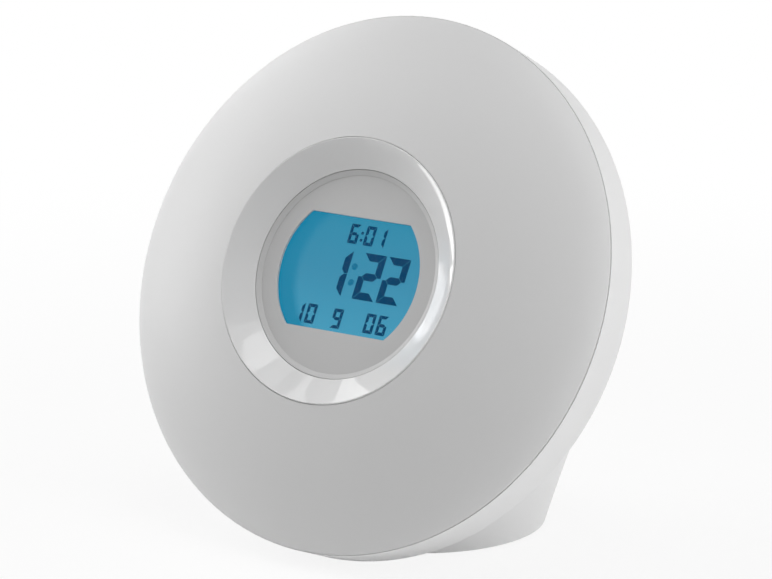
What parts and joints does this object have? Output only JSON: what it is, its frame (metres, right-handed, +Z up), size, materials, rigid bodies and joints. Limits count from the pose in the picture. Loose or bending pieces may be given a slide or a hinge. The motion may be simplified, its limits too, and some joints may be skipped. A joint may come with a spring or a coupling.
{
  "type": "sunrise alarm clock",
  "caption": "Round dome lamp that leans back on a tapering body with a round foot, with a central LCD clock in a dished bezel and push keys at the back.",
  "frame": {"origin": "bottom centre of the bounding box, on the table surface", "axes": "+Z up, the face looks along -Y and leans back, +X to the right seen from the front"},
  "size_m": [0.1898, 0.119, 0.1795],
  "materials": {
    "housing_white": "fine satin moulded plastic",
    "opal_diffuser": "satin opal plastic",
    "bezel_white": "polished",
    "mask_grey": "satin",
    "clear_window": "clear",
    "lcd_glass": "backlit blue",
    "guide_clear": "clear",
    "led_lamp": "moulded lamp",
    "board_green": "solder resist",
    "board_white": "white solder resist",
    "zebra_rubber": "elastomer",
    "inner_white": "moulded",
    "screw_steel": "zinc plated",
    "switch_black": "moulded",
    "part_black": "moulded",
    "speaker_steel": "pressed steel",
    "magnet_iron": "ferrite",
    "cone_paper": "paper",
    "jack_black": "moulded",
    "nut_steel": "plated",
    "cover_white": "fine satin moulded plastic",
    "foot_rubber": "matt",
    "cell_steel": "stainless can",
    "contact_brass": "plated spring brass",
    "key_white": "satin"
  },
  "bodies": {
    "clock": {"rear_housing": "housing_white", "light_diffuser": "opal_diffuser", "display_bezel": "bezel_white", "display_mask": "mask_grey", "display_lens": "clear_window", "lcd_front_glass": "lcd_glass", "lcd_rear_glass": "lcd_glass", "light_guide": "guide_clear", "backlight_leds": "led_lamp", "backlight_board": "board_green", "zebra_strip": "zebra_rubber", "display_holder": "inner_white", "display_board": "board_green", "display_screws": "screw_steel", "reflector_tray": "inner_white", "led_board": "board_white", "leds": "led_lamp", "led_board_screws": "screw_steel", "tray_screws": "screw_steel", "hub_screws": "screw_steel", "tact_switches": "switch_black", "main_board": "board_green", "board_parts": "part_black", "main_board_screws": "screw_steel", "speaker_basket": "speaker_steel", "speaker_magnet": "magnet_iron", "speaker_cone": "cone_paper", "speaker_screws": "screw_steel", "dc_jack": "jack_black", "dc_jack_nut": "nut_steel", "base_cover": "cover_white", "rubber_feet": "foot_rubber", "base_screws": "screw_steel", "coin_cell": "cell_steel", "battery_contacts": "contact_brass"},
    "snooze_key": {"snooze_key": "key_white"},
    "alarm_key": {"alarm_key": "key_white"},
    "time_key": {"time_key": "key_white"},
    "light_key": {"light_key": "key_white"},
    "radio_key": {"radio_key": "key_white"},
    "down_key": {"down_key": "key_white"},
    "up_key": {"up_key": "key_white"},
    "battery_door": {"battery_door": "cover_white"}
  },
  "joints": [
    {"name": "snooze_key_press", "type": "slide", "parent": "clock", "child": "snooze_key", "axis": [0, -0.9801, -0.1986], "range_m": [0, 0.0008], "stiffness_N_per_m": 1800, "springref_m": -0.0002},
    {"name": "alarm_key_press", "type": "slide", "parent": "clock", "child": "alarm_key", "axis": [0, -0.9801, -0.1986], "range_m": [0, 0.0008], "stiffness_N_per_m": 1800, "springref_m": -0.0002},
    {"name": "time_key_press", "type": "slide", "parent": "clock", "child": "time_key", "axis": [0, -0.9801, -0.1986], "range_m": [0, 0.0008], "stiffness_N_per_m": 1800, "springref_m": -0.0002},
    {"name": "light_key_press", "type": "slide", "parent": "clock", "child": "light_key", "axis": [0, -0.9801, -0.1986], "range_m": [0, 0.0008], "stiffness_N_per_m": 1800, "springref_m": -0.0002},
    {"name": "radio_key_press", "type": "slide", "parent": "clock", "child": "radio_key", "axis": [0, -0.9801, -0.1986], "range_m": [0, 0.0008], "stiffness_N_per_m": 1800, "springref_m": -0.0002},
    {"name": "down_key_press", "type": "slide", "parent": "clock", "child": "down_key", "axis": [0, -0.9801, -0.1986], "range_m": [0, 0.0008], "stiffness_N_per_m": 1800, "springref_m": -0.0002},
    {"name": "up_key_press", "type": "slide", "parent": "clock", "child": "up_key", "axis": [0, -0.9801, -0.1986], "range_m": [0, 0.0008], "stiffness_N_per_m": 1800, "springref_m": -0.0002},
    {"name": "battery_door_turn", "type": "hinge", "parent": "clock", "child": "battery_door", "pos_m": [0, 0.01536, 0.0023], "axis": [0, 0, 1], "range_deg": [0, 60]}
  ]
}
